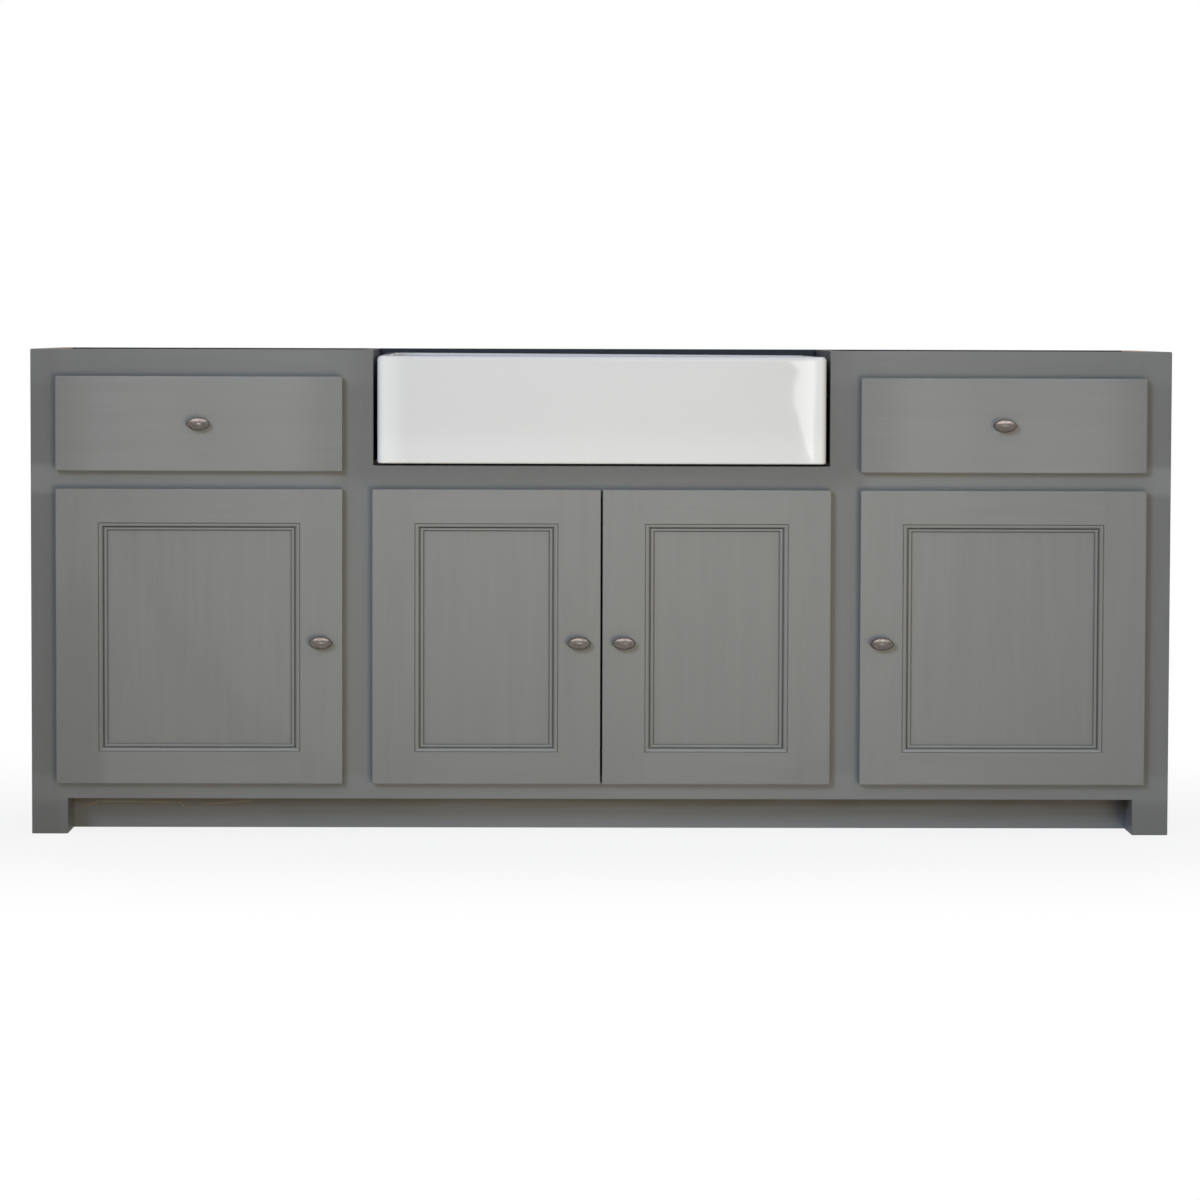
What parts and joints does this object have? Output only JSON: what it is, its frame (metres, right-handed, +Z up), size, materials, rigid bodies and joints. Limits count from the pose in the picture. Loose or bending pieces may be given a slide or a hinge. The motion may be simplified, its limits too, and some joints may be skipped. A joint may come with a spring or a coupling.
{
  "type": "kitchen base cabinet",
  "caption": "Grey painted face-frame kitchen base cabinet with an inset white farmhouse sink, drawers, panelled doors on concealed hinges, oval knobs and a recessed kickboard.",
  "frame": {"origin": "middle of the box round the cabinet, on the floor", "axes": "+X to the right along the front, +Y towards the wall, +Z up"},
  "size_m": [2.02, 0.631, 0.86],
  "materials": {
    "door_paint": "satin grey paint, brushed on",
    "frame_paint": "satin grey paint, brushed on",
    "dark_paint": "dark slate paint",
    "pine": "clear varnished pine",
    "white_fireclay": "gloss white glaze",
    "antique_pewter": "antique pewter with brown patina",
    "nickel_steel": "nickel plated"
  },
  "bodies": {
    "carcass": {"outer_stile_left": "frame_paint", "outer_stile_right": "frame_paint", "mid_stile_left": "frame_paint", "mid_stile_right": "frame_paint", "top_rail_left": "frame_paint", "top_rail_right": "frame_paint", "drawer_rail_left": "frame_paint", "drawer_rail_right": "frame_paint", "sink_rail": "frame_paint", "bottom_rail": "frame_paint", "side_panel_left": "frame_paint", "side_panel_right": "frame_paint", "foot_block_left": "frame_paint", "foot_block_right": "frame_paint", "kickboard": "frame_paint", "partition_left": "pine", "partition_right": "pine", "base_panel": "pine", "back_rail": "pine", "sink_shelf": "pine", "drawer_board_left": "pine", "drawer_board_right": "pine", "back_panel": "dark_paint", "sink": "white_fireclay", "left_door_lower_hinge_arm": "nickel_steel", "left_door_upper_hinge_arm": "nickel_steel", "sink_door_left_lower_hinge_arm": "nickel_steel", "sink_door_left_upper_hinge_arm": "nickel_steel", "sink_door_right_lower_hinge_arm": "nickel_steel", "sink_door_right_upper_hinge_arm": "nickel_steel", "right_door_lower_hinge_arm": "nickel_steel", "right_door_upper_hinge_arm": "nickel_steel"},
    "left_door": {"left_door_frame": "door_paint", "left_door_panel": "door_paint", "left_door_knob": "antique_pewter", "left_door_lower_hinge_cup": "nickel_steel", "left_door_upper_hinge_cup": "nickel_steel"},
    "sink_door_left": {"sink_door_left_frame": "door_paint", "sink_door_left_panel": "door_paint", "sink_door_left_knob": "antique_pewter", "sink_door_left_lower_hinge_cup": "nickel_steel", "sink_door_left_upper_hinge_cup": "nickel_steel"},
    "sink_door_right": {"sink_door_right_frame": "door_paint", "sink_door_right_panel": "door_paint", "sink_door_right_knob": "antique_pewter", "sink_door_right_lower_hinge_cup": "nickel_steel", "sink_door_right_upper_hinge_cup": "nickel_steel"},
    "right_door": {"right_door_frame": "door_paint", "right_door_panel": "door_paint", "right_door_knob": "antique_pewter", "right_door_lower_hinge_cup": "nickel_steel", "right_door_upper_hinge_cup": "nickel_steel"},
    "left_drawer": {"left_drawer_front": "door_paint", "left_drawer_box": "pine", "left_drawer_bottom": "pine", "left_drawer_knob": "antique_pewter"},
    "right_drawer": {"right_drawer_front": "door_paint", "right_drawer_box": "pine", "right_drawer_bottom": "pine", "right_drawer_knob": "antique_pewter"}
  },
  "joints": [
    {"name": "left_door_hinge", "type": "hinge", "parent": "carcass", "child": "left_door", "pos_m": [-0.95609, -0.2775, 0.353], "axis": [0, 0, -1], "range_deg": [0, 100]},
    {"name": "sink_door_left_hinge", "type": "hinge", "parent": "carcass", "child": "sink_door_left", "pos_m": [-0.39759, -0.2775, 0.353], "axis": [0, 0, -1], "range_deg": [0, 100]},
    {"name": "sink_door_right_hinge", "type": "hinge", "parent": "carcass", "child": "sink_door_right", "pos_m": [0.39759, -0.2775, 0.353], "axis": [0, 0, 1], "range_deg": [0, 100]},
    {"name": "right_door_hinge", "type": "hinge", "parent": "carcass", "child": "right_door", "pos_m": [0.95609, -0.2775, 0.353], "axis": [0, 0, 1], "range_deg": [0, 100]},
    {"name": "left_drawer_slide", "type": "slide", "parent": "carcass", "child": "left_drawer", "axis": [0, -1, 0], "range_m": [0, 0.38]},
    {"name": "right_drawer_slide", "type": "slide", "parent": "carcass", "child": "right_drawer", "axis": [0, -1, 0], "range_m": [0, 0.38]}
  ]
}
